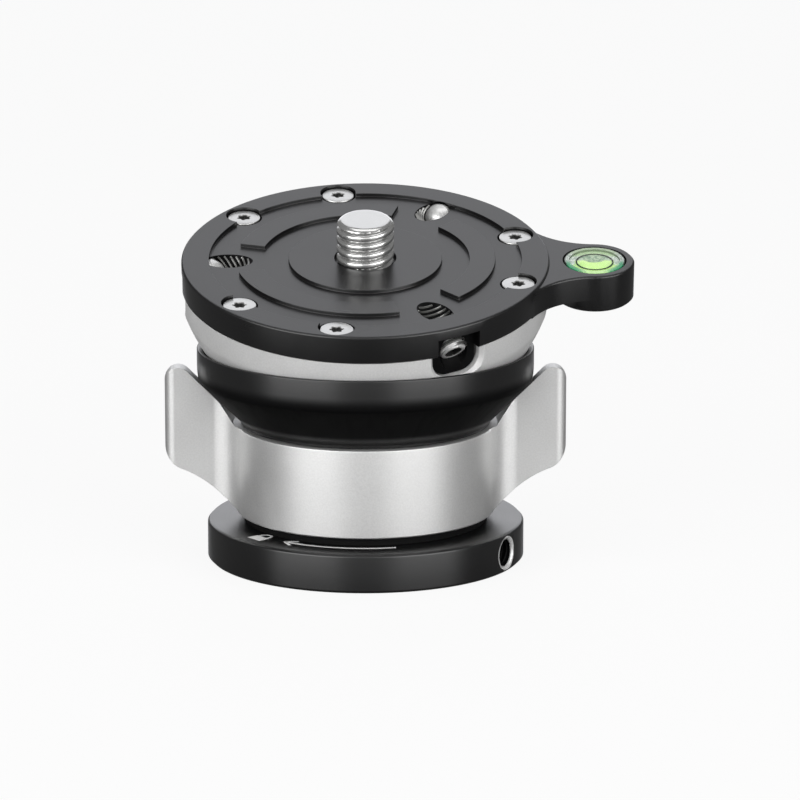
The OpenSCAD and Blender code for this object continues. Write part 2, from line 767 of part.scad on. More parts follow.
// The grooves in the upper face: everything between the centre and the rim except the pads
module face_grooves() {
    pad_turn = 360 / len(pad_angles) - pad_gap;
    difference() {
        ring(plate_r - rim_w, hub_d / 2, -groove_low, -plate_drop + cut);
        around(pad_angles) rotate([0, 0, -pad_turn / 2]) rotate_extrude(angle = pad_turn)
            translate([pad_in_d / 2, -groove_low - cut])
            square([(pad_out_d - pad_in_d) / 2, groove_h + 3 * cut]);
    }
}

module top_plate() color("#26272a") {
    in_head() difference() {
        union() {
            turned([
                [0, -plate_low], [plate_r - plate_chamfer, -plate_low],
                [plate_r, -plate_low + plate_chamfer], [plate_r, -plate_drop - plate_chamfer],
                [plate_r - plate_chamfer, -plate_drop], [0, -plate_drop]
            ]);
            lobe_neck();
            translate([lobe_x, 0, 0]) turned([
                [0, -lobe_low], [lobe_r - plate_chamfer, -lobe_low], [lobe_r, -lobe_low + plate_chamfer],
                [lobe_r, -lobe_top - plate_chamfer], [lobe_r - plate_chamfer, -lobe_top], [0, -lobe_top]
            ]);
            around(lug_angles) lug(0, lug_face_r - lug_len, lug_face_r, plate_low - cut);
        }
        face_grooves();
        translate([0, 0, -plate_low - cut]) cylinder(r = stud_root_r + press_fit, h = plate_h + 2 * cut);
        translate([0, 0, -plate_drop - stud_foot_h]) cylinder(r = stud_d / 2 + stud_foot_w, h = plate_h);
        translate([lobe_x, 0, -vial_low]) cylinder(r = vial_r + vial_gap, h = vial_h + cut);
        at_plate_screws() {
            translate([0, 0, -plate_head_low])
                cylinder(r = plate_head_d / 2 + plate_head_gap, h = plate_head_low);
            translate([0, 0, -plate_low - cut]) cylinder(r = plate_screw_d / 2 + press_fit, h = plate_low);
        }
        around(lug_angles) translate([lug_face_r, -pocket_w / 2, -plate_low - cut])
            cube([plate_r, pocket_w, plate_h - notch_cover + cut]);
        for (a = lug_angles) at_tip(a) translate([0, 0, -tip_len])
            cylinder(r = tip_bore_r, h = 4 * tip_len);
    }
}

module plate_screws() color("#d4d5d6") {
    in_head() at_plate_screws() translate([0, 0, -plate_head_low]) difference() {
        union() {
            cylinder(d = plate_head_d, h = plate_head_h);
            translate([0, 0, -plate_screw_len]) cylinder(d = plate_screw_d, h = plate_screw_len + cut);
        }
        translate([0, 0, plate_head_h / 2]) hexagon(plate_screw_key, plate_head_h);
    }
}

module security_screw(angle) color("#d4d5d6") {
    in_head() at_tip(angle) set_screw(tip_d, tip_len, tip_key);
}

module camera_stud() color("#d4d5d6") {
    r = stud_d / 2;
    top = -plate_drop + stud_up;
    low = -plate_low - stud_nut_h - stud_tail;
    in_head() turned([
        [0, low], [stud_root_r - stud_tail, low], [stud_root_r, low + stud_tail],
        [stud_root_r, -plate_drop], [r, -plate_drop],
        [r, top - stud_chamfer], [r - stud_chamfer, top], [0, top]
    ]);
}

module stud_jam_nut() color("#a7a9ac") {
    in_head() translate([0, 0, -plate_low - stud_nut_h]) difference() {
        hexagon(stud_nut_key, stud_nut_h);
        translate([0, 0, -cut]) cylinder(r = stud_root_r + press_fit, h = stud_nut_h + 2 * cut);
    }
}

module vial_cap() color("#dfeee2", 0.4) {
    in_head() translate([lobe_x, 0, 0]) difference() {
        translate([0, 0, -vial_low]) cylinder(r = vial_r, h = vial_h);
        translate([0, 0, -vial_low - cut]) cylinder(r = vial_r - vial_wall, h = vial_low - window_low + cut);
    }
}

module vial_mark() color("#1b1d1a") {
    in_head() translate([lobe_x, 0, -window_low]) ring(mark_d / 2, mark_d / 2 - mark_w, -mark_h, 0);
}

module vial_fluid() color("#b6dc3c") {
    in_head() translate([lobe_x, 0, -vial_low + vial_back_h])
        cylinder(r = fluid_r, h = vial_low - vial_back_h - window_low - mark_h);
}

module vial_backing() color("#eef2d8") {
    in_head() translate([lobe_x, 0, -vial_low]) cylinder(r = fluid_r, h = vial_back_h);
}

base_plate();
tripod_insert();
base_set_screw();
lower_thrust_washer();
spacer_posts();
base_screws();
lock_ring();
lock_nut();
disc_springs();
upper_thrust_washer();
bowl();
seat_ring();
bolt_key_pin();
draw_bolt();
clamp_dome();
dome_washer();
ball_liner();
half_ball();
top_plate();
plate_screws();
security_screw(lug_angles[0]);  // security_screw_right
security_screw(lug_angles[1]);  // security_screw_left
security_screw(lug_angles[2]);  // security_screw_front
camera_stud();
stud_jam_nut();
vial_cap();
vial_mark();
vial_fluid();
vial_backing();
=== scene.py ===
"""Looks of a leveling base: its finishes, threads, screws, spirit level and print."""

import json
import math
from collections import namedtuple

import bmesh
import bpy
from mathutils import Matrix, Vector


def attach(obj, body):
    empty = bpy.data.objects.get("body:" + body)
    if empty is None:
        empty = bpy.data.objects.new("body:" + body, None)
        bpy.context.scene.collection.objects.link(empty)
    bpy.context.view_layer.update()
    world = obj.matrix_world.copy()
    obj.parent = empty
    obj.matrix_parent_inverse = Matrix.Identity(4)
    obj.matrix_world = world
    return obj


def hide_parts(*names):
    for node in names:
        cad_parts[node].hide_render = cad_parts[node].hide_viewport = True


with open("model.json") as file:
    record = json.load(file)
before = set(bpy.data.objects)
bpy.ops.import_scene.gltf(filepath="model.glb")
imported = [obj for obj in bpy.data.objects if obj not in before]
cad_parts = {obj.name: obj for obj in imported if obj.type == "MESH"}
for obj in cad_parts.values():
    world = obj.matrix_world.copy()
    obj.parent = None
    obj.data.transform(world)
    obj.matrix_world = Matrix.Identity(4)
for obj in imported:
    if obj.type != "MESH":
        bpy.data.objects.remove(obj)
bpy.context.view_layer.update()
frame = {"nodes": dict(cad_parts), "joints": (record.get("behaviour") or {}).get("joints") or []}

# Sizes are written in millimetres; times MM they are in Blender's metres
MM = 0.001
TURN = 2 * math.pi

# The head's own frame: its origin is the ball's centre and its Z the top plate's axis
joints = {joint["name"]: joint for joint in frame["joints"]}
head_axis = joints["head_spin"]["axis"]
head_lean = math.atan2(-head_axis[1], head_axis[2])
ball_centre = Vector(joints["head_spin"]["pos_m"])
HEAD = Matrix.Translation(ball_centre) @ Matrix.Rotation(head_lean, 4, "X")

# Sizes of the solids that the looks follow; those of the head are in its own frame
BASE_R = 26
BASE_H = 6.4
HOLE_ANGLE = math.radians(-28)
HOLE_Z = BASE_H / 2
HOLE_R = 2.2
HOLE_CHAMFER_R = 2.8
HOLE_CHAMFER_FOOT = 25.47
PLATE_R = 30
PLATE_TOP = -2.5
TIP_R = PLATE_R - 2
TIP_DEEP = 5.4 - PLATE_TOP
TIP_SLOPE = math.radians(40)
TIP_HOLE_R = 2.5
LOBE_X = PLATE_R + 7.4

# Where the three security screws stand round the head, in degrees
TIP_SIDES = {"right": 60, "left": 180, "front": 300}


# Shader nodes

# A point's X, Y and Z, and its distance from Z
Place = namedtuple("Place", "x y z r")


class Value:
    """A shader socket. Arithmetic on it adds Math nodes."""

    def __init__(self, sheet, socket):
        self.sheet = sheet
        self.socket = socket

    def __add__(self, other):
        return self.sheet.maths("ADD", self, other)

    def __radd__(self, other):
        return self.sheet.maths("ADD", other, self)

    def __sub__(self, other):
        return self.sheet.maths("SUBTRACT", self, other)

    def __rsub__(self, other):
        return self.sheet.maths("SUBTRACT", other, self)

    def __mul__(self, other):
        return self.sheet.maths("MULTIPLY", self, other)

    def __rmul__(self, other):
        return self.sheet.maths("MULTIPLY", other, self)

    def __pow__(self, other):
        return self.sheet.maths("POWER", self, other)

    def __lt__(self, other):
        return self.sheet.maths("LESS_THAN", self, other)

    def __gt__(self, other):
        return self.sheet.maths("GREATER_THAN", self, other)


class Sheet:
    """A node tree in which every node comes from add()."""

    def __init__(self, tree):
        tree.nodes.clear()
        self.tree = tree

    def add(self, kind, settings=None, inputs=None, output=0):
        """A node of this kind: its settings come first, then its sockets' values or links."""
        node = self.tree.nodes.new("ShaderNode" + kind)
        for name, setting in (settings or {}).items():
            setattr(node, name, setting)
        for name, given in (inputs or {}).items():
            if isinstance(given, Value):
                self.tree.links.new(given.socket, node.inputs[name])
            else:
                node.inputs[name].default_value = given
        return Value(self, node.outputs[output]) if node.outputs else None

    def maths(self, operation, *values):
        return self.add("Math", {"operation": operation}, dict(enumerate(values)))

    def step(self, value, start, end):
        """0 before start, 1 past end and smooth between them; start may be the greater."""
        return self.add("MapRange", {"interpolation_type": "SMOOTHSTEP"},
                        {"Value": value, "From Min": start, "From Max": end})

    def mix(self, first, second, share):
        """A colour between two colours."""
        return self.add("Mix", {"data_type": "RGBA"}, {0: share, 6: first, 7: second}, output=2)

    def shade(self, colour, least, share):
        """A colour that falls to this part of itself where the share is 0."""
        deep = (least * part for part in colour)
        return self.mix((*deep, 1), (*colour, 1), share)

    def point(self, in_head=False):
        """The point shaded, in the piece's own frame or in the head's."""
        point = self.add("TexCoord", output="Object")
        if in_head:
            point = self.add("Mapping", {"vector_type": "TEXTURE"}, {
                "Vector": point, "Location": ball_centre, "Rotation": (head_lean, 0, 0)})
        return point

    def place(self, point):
        """Where a point lies, as a Place."""
        split = self.add("SeparateXYZ", inputs={"Vector": point})
        x, y, z = (Value(self, socket) for socket in split.socket.node.outputs)
        return Place(x, y, z, (x * x + y * y) ** 0.5)

    def from_axis(self, at, angle, height):
        """Distances along and from a level axis through Z at this angle and height."""
        along = at.x * math.cos(angle) + at.y * math.sin(angle)
        across = at.y * math.cos(angle) - at.x * math.sin(angle)
        return along, (across * across + (at.z - height) ** 2) ** 0.5

    def rays(self):
        """Which kind of ray is shaded: from the camera, off a gloss or through glass."""
        kinds = ("Camera", "Glossy", "Transmission")
        return [self.add("LightPath", output=f"Is {kind} Ray") for kind in kinds]

    def white_share(self, shares):
        """How much of a white background the ray shaded sees, given the shares for the kinds in rays()."""
        camera, glossy, through = (ray * share for ray, share in zip(self.rays(), shares))
        return self.maths("MINIMUM", camera + glossy + through, 1.0)

    def grain(self, point, size, detail=2):
        """Noise whose grains have about this size."""
        return self.add("TexNoise", inputs={"Vector": point, "Scale": 1 / size, "Detail": detail})

    def marks(self, along, pitch):
        """Lines at about this pitch along a distance, as a turning tool leaves them."""
        return self.add("TexNoise", {"noise_dimensions": "1D"},
                        {"W": along, "Scale": 1 / pitch, "Detail": 3})

    def bump(self, height, strength, depth):
        """A normal that follows a height, with this depth between its lowest and highest."""
        return self.add("Bump", inputs={"Height": height, "Strength": strength, "Distance": depth})

    def shader(self, **inputs):
        """A Principled shader. Names are its sockets', with _ for a space."""
        named = {name.replace("_", " "): given for name, given in inputs.items()}
        return self.add("BsdfPrincipled", inputs=named)

    def surface(self, **inputs):
        """Ends a material in a Principled shader."""
        self.add("OutputMaterial", inputs={"Surface": self.shader(**inputs)})


def new_finish(name):
    """A material, and the empty sheet for its nodes."""
    material = bpy.data.materials.new(name)
    material.use_nodes = True
    return material, Sheet(material.node_tree)


def grey(level):
    """A grey colour of this level."""
    return (level, level, level, 1)


# Masks for the places on a piece where its finish differs, or where shade is painted

SLIVER = 0.01
HOLE_WALL_R = HOLE_R + 0.07
FLARE_START = (23.6 * MM, 24.8 * MM)
FLARE_END = (32.4 * MM, 30.6 * MM)
TIP_WALL_R = TIP_HOLE_R + 0.04
POCKET_BACK = 27.95
POCKET_HALF_W = 3.82
POCKET_ROOF = -4.25
# Painted shade in the plate screws' sockets: how strong it is and where it starts
HEAD_SOCKET_PAINTED_SHADE = 0.8
HEAD_SOCKET_MOUTH = ((PLATE_TOP - 0.5) * MM, (PLATE_TOP - 0.8) * MM)
TIP_SOCKET_R = 1.5
TIP_SOCKET_MOUTH = 0.05
TIP_SOCKET_END = 2.8


def on_flare(s, at):
    """1 on the bowl's flare, between its neck and its rim, where shade is painted."""
    return s.step(at.z, *FLARE_START) * s.step(at.z, *FLARE_END)


def in_side_hole(s, at):
    """1 on the wall of the base plate's side hole, where shade is painted."""
    along, off = s.from_axis(at, HOLE_ANGLE, HOLE_Z * MM)
    return (off < HOLE_WALL_R * MM) * (along < (HOLE_CHAMFER_FOOT + SLIVER) * MM) * (along > 0)


def on_hole_chamfer(s, at):
    """1 on the chamfer at the mouth of the base plate's side hole."""
    along, off = s.from_axis(at, HOLE_ANGLE, HOLE_Z * MM)
    return (off < HOLE_CHAMFER_R * MM) * (along > (HOLE_CHAMFER_FOOT - SLIVER) * MM)


def in_pockets(s, at):
    """1 in the top plate's three pockets and on the walls of the holes that end in them, where shade is
    painted.
    """
    third = TURN / 3
    turn = s.maths("FLOORED_MODULO", s.maths("ARCTAN2", at.y, at.x), third) - third / 2
    out = at.r * s.maths("COSINE", turn)
    side = at.r * s.maths("SINE", turn)
    above = (out - TIP_R * MM) * math.sin(TIP_SLOPE) + (at.z + TIP_DEEP * MM) * math.cos(TIP_SLOPE)
    bore = (above * above + side * side) ** 0.5 < TIP_WALL_R * MM
    between = s.maths("ABSOLUTE", side) < POCKET_HALF_W * MM
    pocket = (out > POCKET_BACK * MM) * between * (at.z < POCKET_ROOF * MM)
    return s.maths("MAXIMUM", bore, pocket)


def head_socket_painted_shade(s, at):
    """The painted shade on a plate screw below its top face, which is seen in its socket."""
    return HEAD_SOCKET_PAINTED_SHADE * s.step(at.z, *HEAD_SOCKET_MOUTH)


def in_tip_socket(s, at):
    """1 in the socket of a security screw, where shade is painted."""
    return (at.r < TIP_SOCKET_R * MM) * (at.z > TIP_SOCKET_MOUTH * MM) * (at.z < TIP_SOCKET_END * MM)


# Finishes

TOOL_PITCH = 0.2 * MM
BLACK_DEEP = (0.0025, 0.0025, 0.0027, 1)
BLACK_LIGHT = (0.006, 0.006, 0.0064, 1)
# Painted shade: the darker, matt black of hollows and of the bowl's flare
PAINTED_SHADE_DEEP = (0.0012, 0.0012, 0.0013, 1)
PAINTED_SHADE_LIGHT = (0.0035, 0.0035, 0.0038, 1)
SILVER_DEEP = (0.64, 0.64, 0.635, 1)
SILVER_LIGHT = (0.92, 0.92, 0.915, 1)
# Painted shade in the screws' sockets
SOCKET_PAINTED_SHADE = grey(0.03)


def black_anodised(name, in_head=False, painted_shade=None, bare=None):
    """Turned, bead blasted and black anodised aluminium. Where its shade mask is 1 it takes a darker, matt
    shader, which is painted shade, and it is uncoated where the mask bare(s, at) is 1."""
    material, s = new_finish(name)
    point = s.point(in_head)
    at = s.place(point)
    fine = s.grain(point, 0.2 * MM)
    cloud = s.grain(point, 9 * MM, detail=4)
    lines = s.marks(at.r + at.z, TOOL_PITCH)
    colour = s.mix(BLACK_DEEP, BLACK_LIGHT, cloud * 0.7 + lines * 0.3)
    rough = 0.24 + 0.06 * cloud + 0.05 * lines
    metal = 0.0
    if bare:
        metal = bare(s, at)
        colour = s.mix(colour, SILVER_LIGHT, metal)
        rough = rough + metal * 0.1
    surface = s.shader(Base_Color=colour, Roughness=rough, Metallic=metal * 0.5, IOR=1.65,
                       Normal=s.bump(fine * 0.6 + lines * 0.4, 0.3, 0.012 * MM))
    # Painted shade: a darker, matt shader where the shade mask is 1
    if painted_shade:
        matt = s.shader(Base_Color=s.mix(PAINTED_SHADE_DEEP, PAINTED_SHADE_LIGHT, fine), Roughness=0.6, IOR=1.2)
        surface = s.add("MixShader", inputs={0: painted_shade(s, at), 1: surface, 2: matt})
    s.add("OutputMaterial", inputs={"Surface": surface})
    return material


def silver_satin(name, metal, in_head=False):
    """Bead blasted and clear anodised aluminium; a lower metal value makes it more matt."""
    material, s = new_finish(name)
    point = s.point(in_head)
    fine = s.grain(point, 0.28 * MM, detail=3)
    cloud = s.grain(point, 7 * MM, detail=4)
    colour = s.mix(SILVER_DEEP, SILVER_LIGHT, cloud * 0.4 + fine * 0.6)
    s.surface(Base_Color=colour, Metallic=metal, Roughness=0.4 + 0.08 * cloud + 0.1 * fine,
              Normal=s.bump(fine, 0.5, 0.03 * MM))
    return material


def turned_metal(name, colour, roughness, in_head=False, metal=1.0, dark=None, relief=0.1):
    """Metal turned on a lathe, with its tool marks; darker, as painted shade, where the mask dark(s, at) is
    above 0.
    """
    material, s = new_finish(name)
    point = s.point(in_head)
    at = s.place(point)
    lines = s.marks(at.r + at.z, TOOL_PITCH)
    cloud = s.grain(point, 4 * MM, detail=4)
    tint = s.shade(colour, 0.8, lines * 0.5 + cloud * 0.5)
    # Painted shade in sockets
    if dark:
        tint = s.mix(tint, SOCKET_PAINTED_SHADE, dark(s, at))
    s.surface(Base_Color=tint, Metallic=metal, Roughness=roughness + 0.08 * lines + 0.06 * cloud,
              Normal=s.bump(lines, relief, 0.006 * MM))
    return material


def moulded_plastic(name, colour, roughness, in_head=False, shine=0.5):
    """Plastic with the faint grain of its mould."""
    material, s = new_finish(name)
    point = s.point(in_head)
    fine = s.grain(point, 0.3 * MM, detail=3)
    cloud = s.grain(point, 5 * MM, detail=4)
    s.surface(Base_Color=s.shade(colour, 0.82, cloud), Roughness=roughness + 0.1 * fine,
              Specular_IOR_Level=shine, Normal=s.bump(fine, 0.2, 0.01 * MM))
    return material


def printed_ink(name, colour):
    """Matt ink with fine specks."""
    material, s = new_finish(name)
    speck = s.grain(s.point(), 0.1 * MM, detail=3)
    s.surface(Base_Color=s.shade(colour, 0.86, speck), Roughness=0.5 + 0.1 * speck)
    return material


# Finishes of the spirit level, with painted reflections and shade; a pair of sizes is where a change of
# colour starts and ends

GLINTS = (0.35, 0.65)
# Painted reflections: the grey and pale glints at the cap's sides; the dark green is painted shade at both
# ends of its front
CAP_GREY = (0.36, 0.43, 0.38, 1)
CAP_PALE = (0.84, 0.90, 0.86, 1)
CAP_BACK = (0.52, 0.66, 0.44, 1)
CAP_BRIGHT_GREEN = (0.62, 0.94, 0.42, 1)
CAP_DARK_GREEN = (0.03, 0.36, 0.16, 1)
CAP_WALL = (4.0 * MM, 4.3 * MM)
CAP_TO_FRONT = (0.3 * MM, -1.6 * MM)
CAP_TO_BACK = (1.6 * MM, 3.4 * MM)
CAP_TO_SIDES = (1.2 * MM, 3.0 * MM)
# Painted shadow of the gap round the cap's top
GAP_SHADE_BLACK = (0.006, 0.007, 0.006, 1)
GAP_SHADE_OUT = (4.72 * MM, 4.84 * MM)
GAP_SHADE_TO_BACK = (-2.6 * MM, -1.2 * MM)
GAP_SHADE_LOW = -3.3 * MM


def clear_acrylic(name):
    """The vial's cap: clear over the fluid, with a wall that is broken grey and pale at the sides as painted
    glints, pale green behind, and green in front, painted darker towards both sides as shade. The rim of its
    top face has a painted shadow of the gap round it, except in front."""
    material, s = new_finish(name)
    point = s.point(in_head=True)
    at = s.place(point)
    out = at.x - LOBE_X * MM
    off = (out * out + at.y * at.y) ** 0.5
    glint = s.grain(point, 0.5 * MM, detail=3)
    wave = (glint - 0.5) * MM
    side = s.mix(CAP_GREY, CAP_PALE, s.step(glint, *GLINTS))
    colour = s.mix(side, CAP_BACK, s.step(at.y, *CAP_TO_BACK))
    aside = s.maths("ABSOLUTE", out) + wave * 2
    green = s.mix(CAP_BRIGHT_GREEN, CAP_DARK_GREEN, s.step(aside, *CAP_TO_SIDES))
    colour = s.mix(colour, green, s.step(at.y + wave, *CAP_TO_FRONT))
    # A painted shadow of the gap round the cap, except in front
    gap_shade = s.step(off, *GAP_SHADE_OUT) * s.step(at.y, *GAP_SHADE_TO_BACK) * (at.z > GAP_SHADE_LOW)
    colour = s.mix(colour, GAP_SHADE_BLACK, gap_shade)
    s.surface(Base_Color=colour, Roughness=0.06 + 0.05 * glint, IOR=1.49,
              Alpha=0.08 + 0.72 * s.step(off, *CAP_WALL))
    return material


FLUID_BRIGHT = (0.56, 0.93, 0.20, 1)
FLUID_BRIGHTER = (0.72, 0.97, 0.38, 1)
# Painted reflections of the bubble and of the fluid's sides
BUBBLE_DARK = (0.26, 0.38, 0.27, 1)
BUBBLE_PALE = (0.56, 0.68, 0.50, 1)
FLUID_GREY = (0.36, 0.44, 0.36, 1)
FLUID_PALE = (0.82, 0.90, 0.82, 1)
FLUID_BACK = (0.50, 0.66, 0.40, 1)
FLUID_TO_BUBBLE = (0.5 * MM, 1.0 * MM)
FLUID_TO_BACK = (1.8 * MM, 2.8 * MM)
FLUID_TO_FRONT = (-0.4 * MM, -1.4 * MM)
FLUID_TO_RIM = (3.1 * MM, 3.35 * MM)


def vial_liquid(name):
    """Yellow-green fluid: greyer under the bubble and broken into pale glints at both sides, all painted
    reflections, with a faint painted glow.
    """
    material, s = new_finish(name)
    point = s.point()
    at = s.place(point)
    glint = s.grain(point, 0.55 * MM, detail=3)
    wave = (glint - 0.5) * MM
    glints = s.step(glint, *GLINTS)
    bright = s.mix(FLUID_BRIGHT, FLUID_BRIGHTER, s.grain(point, 1.6 * MM))
    bubble = s.mix(BUBBLE_DARK, BUBBLE_PALE, glints)
    middle = s.mix(bright, bubble, s.step(at.y + wave, *FLUID_TO_BUBBLE))
    sides = s.mix(FLUID_GREY, FLUID_PALE, glints)
    behind = s.mix(sides, FLUID_BACK, s.step(at.y, *FLUID_TO_BACK))
    rim = s.mix(behind, bright, s.step(at.y + wave * 1.5, *FLUID_TO_FRONT))
    colour = s.mix(middle, rim, s.step(at.r, *FLUID_TO_RIM))
    # A faint glow of its own colour, which is painted light
    s.surface(Base_Color=colour, Roughness=0.15 + 0.1 * glint, Coat_Weight=0.3, Emission_Color=colour,
              Emission_Strength=0.18)
    return material


# Meshes

THREAD_ROWS = 24
SHARP = math.radians(32)
FLAT = math.radians(0.3)
SAME_POINT = 1e-7


def ring_points(radius, height, columns):
    """A ring's points; the radius is a number, or a function of the angle."""
    for k in range(columns):
        angle = TURN * k / columns
        r = radius(angle) if callable(radius) else radius
        yield Vector((r * math.cos(angle), r * math.sin(angle), height)) * MM


def add_turned(bm, rings, columns, place=Matrix()):
    """A closed body about Z through rings of (radius, height) in millimetres, from end to end."""
    loops = []
    for radius, height in rings:
        points = [Vector((0, 0, height)) * MM] if radius == 0 else ring_points(radius, height, columns)
        loops.append([bm.verts.new(place @ point) for point in points])
    for low, high in zip(loops, loops[1:]):
        for k in range(columns):
            j = (k + 1) % columns
            corners = [low[k % len(low)], low[j % len(low)], high[j % len(high)], high[k % len(high)]]
            bm.faces.new(list(dict.fromkeys(corners)))


def thread_rows(major, depth, pitch, low, high, ends=0.0, root=0.2, flank=0.62, curve=1):
    """Rings of a right-hand thread; at both ends it sinks into a chamfer of this width. Its root and each
    flank take these shares of half a pitch, and a curve above 1 rounds its crest."""
    rows = max(2, round((high - low) / pitch * THREAD_ROWS))

    def row(height):
        limit = min(height - low, high - height) + (major - ends)

        def radius(angle):
            rise = abs(2 * ((height / pitch - angle / TURN) % 1) - 1)
            crest = min(1, max(0, (rise - root) / flank))
            return min(major - depth * (1 - crest) ** curve, limit if ends else major)

        return radius, height

    return [row(low + (high - low) * k / rows) for k in range(rows + 1)]


def hexed(across):
    """A hexagon of this width across its flats, as a radius by angle."""
    return lambda angle: across / 2 / math.cos((angle + TURN / 12) % (TURN / 6) - TURN / 12)


def lobed(radius, swing):
    """A six-lobed socket, as a radius by angle."""
    return lambda angle: radius + swing * math.cos(6 * angle)


def capped(radius, most):
    """A radius by angle that is never above this one."""
    return lambda angle: min(radius(angle), most)


def new_piece(name, bm, body, material, place=Matrix(), replaces=()):
    """A piece from mesh data in its own frame, set in place on its body."""
    mesh = bpy.data.meshes.new(name)
    bm.to_mesh(mesh)
    bm.free()
    mesh.shade_smooth()
    mesh.set_sharp_from_angle(angle=SHARP)
    piece = bpy.data.objects.new(name, mesh)
    bpy.context.scene.collection.objects.link(piece)
    piece.matrix_world = place
    mesh.materials.append(material)
    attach(piece, body)
    if replaces:
        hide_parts(*replaces)


def soften(node, width, least=25):
    """Rounds those edges of a CAD node that turn by this many degrees or more, by modifiers alone."""
    shown = frame["nodes"][node]
    weld = shown.modifiers.new("joined faces", "WELD")
    weld.merge_threshold = SAME_POINT
    whole = shown.modifiers.new("whole faces", "DECIMATE")
    whole.decimate_type = "DISSOLVE"
    whole.angle_limit = FLAT
    edges = shown.modifiers.new("rounded edges", "BEVEL")
    edges.width = width
    edges.segments = 2
    edges.limit_method = "ANGLE"
    edges.angle_limit = math.radians(least)
    edges.use_clamp_overlap = False
    shading = shown.modifiers.new("even shading", "WEIGHTED_NORMAL")
    shading.weight = 80
    shading.keep_sharp = False


def dress(finish, *nodes):
    """Gives CAD nodes a finish."""
    for node in nodes:
        frame["nodes"][node].material_slots[0].material = finish


# Finishes of the CAD nodes

STEEL = (0.62, 0.62, 0.61)
BRONZE = (0.58, 0.42, 0.22)
STAINLESS = (0.75, 0.75, 0.74)
BLACK_ACETAL = (0.006, 0.006, 0.006)
NATURAL_ACETAL = (0.80, 0.78, 0.70)
MARK_BLACK = (0.012, 0.016, 0.012)
BACKING_PALE = (0.80, 0.88, 0.60)

# Painted shade darkens the side hole's wall, the bowl's flare and the top plate's pockets
dress(black_anodised("black anodised base plate", painted_shade=in_side_hole, bare=on_hole_chamfer), "base_plate")
dress(black_anodised("black anodised bowl", painted_shade=on_flare), "bowl")
dress(black_anodised("black anodised top plate", in_head=True, painted_shade=in_pockets), "top_plate")
dress(silver_satin("satin silver lock ring", metal=0.85), "lock_ring", "clamp_dome")
dress(silver_satin("satin silver half ball", metal=0.25, in_head=True), "half_ball")
dress(turned_metal("bright stainless steel of the base", STAINLESS, roughness=0.22), "tripod_insert",
      "base_screws")
dress(turned_metal("plain steel", STEEL, roughness=0.3), "spacer_posts", "disc_springs", "bolt_key_pin",
      "draw_bolt", "dome_washer")
dress(turned_metal("plain steel of the head", STEEL, roughness=0.3, in_head=True), "stud_jam_nut")
dress(turned_metal("bearing bronze", BRONZE, roughness=0.3), "lock_nut", "upper_thrust_washer")
dress(moulded_plastic("black acetal", BLACK_ACETAL, roughness=0.6, shine=0.08), "lower_thrust_washer")
dress(moulded_plastic("natural acetal", NATURAL_ACETAL, roughness=0.45), "seat_ring")
dress(moulded_plastic("natural acetal of the liner", NATURAL_ACETAL, roughness=0.45, in_head=True),
      "ball_liner")
dress(clear_acrylic("clear acrylic"), "vial_cap")
dress(moulded_plastic("black ring line", MARK_BLACK, roughness=0.5, in_head=True), "vial_mark")
dress(moulded_plastic("pale vial backing", BACKING_PALE, roughness=0.5, in_head=True), "vial_backing")

soften("base_plate", 0.12 * MM, least=80)
soften("bowl", 0.14 * MM, least=50)
soften("lock_ring", 0.07 * MM, least=50)
soften("half_ball", 0.04 * MM)
soften("top_plate", 0.08 * MM, least=60)
soften("lower_thrust_washer", 0.1 * MM)
soften("vial_cap", 0.15 * MM)


# Camera stud with its thread

STUD_R = 4.7
STUD_PITCH = 1.5875
STUD_DEPTH = 0.7
STUD_TOP = PLATE_TOP + 6.9
STUD_ROUND = 1.35
STUD_FACE_R = STUD_R - 2
STUD_FOOT = PLATE_TOP - 0.4
STUD_LOW = -11.5
STUD_TAIL_R = 3.96
STUD_TAIL_CHAMFER = 0.6
STUD_COLUMNS = 144
HAIR = 0.02


def build_camera_stud():
    """The thread stays within a rounded top edge; the ring inside that keeps the top face's shading flat."""
    thread = []
    for radius, height in thread_rows(STUD_R, STUD_DEPTH, STUD_PITCH, STUD_FOOT, STUD_TOP - HAIR,
                                      root=0.03, flank=0.97, curve=2.6):
        over = max(0, height - (STUD_TOP - STUD_ROUND))
        most = STUD_R - STUD_ROUND + math.sqrt(STUD_ROUND ** 2 - over ** 2)
        thread.append((capped(radius, most), height))
    tail = [
        (0, STUD_LOW), (STUD_TAIL_R - STUD_TAIL_CHAMFER, STUD_LOW),
        (STUD_TAIL_R, STUD_LOW + STUD_TAIL_CHAMFER), (STUD_TAIL_R, STUD_FOOT - HAIR),
    ]
    face = [(STUD_R - STUD_ROUND, STUD_TOP), (STUD_FACE_R, STUD_TOP), (0, STUD_TOP)]
    bm = bmesh.new()
    add_turned(bm, tail + thread + face, STUD_COLUMNS)
    steel = turned_metal("bright stainless steel of the stud", (0.81, 0.81, 0.80), roughness=0.15,
                         metal=0.88, relief=0.5)
    new_piece("camera_stud_threaded", bm, "head", steel, HEAD, ["camera_stud"])


# Plate screws with six-lobed sockets

SCREW_CIRCLE_R = PLATE_R - 3.7
SCREW_ANGLES = [pad + side for pad in (0, 120, 240) for side in (-20, 20)]
SCREW_TWIST = 0.37
SCREW_TOP = PLATE_TOP - 0.45
SCREW_NECK = SCREW_TOP - 1.6
SCREW_TAIL = SCREW_NECK - 7
SCREW_HEAD_R = 2.7
SCREW_R = 1.5
SCREW_COLUMNS = 72


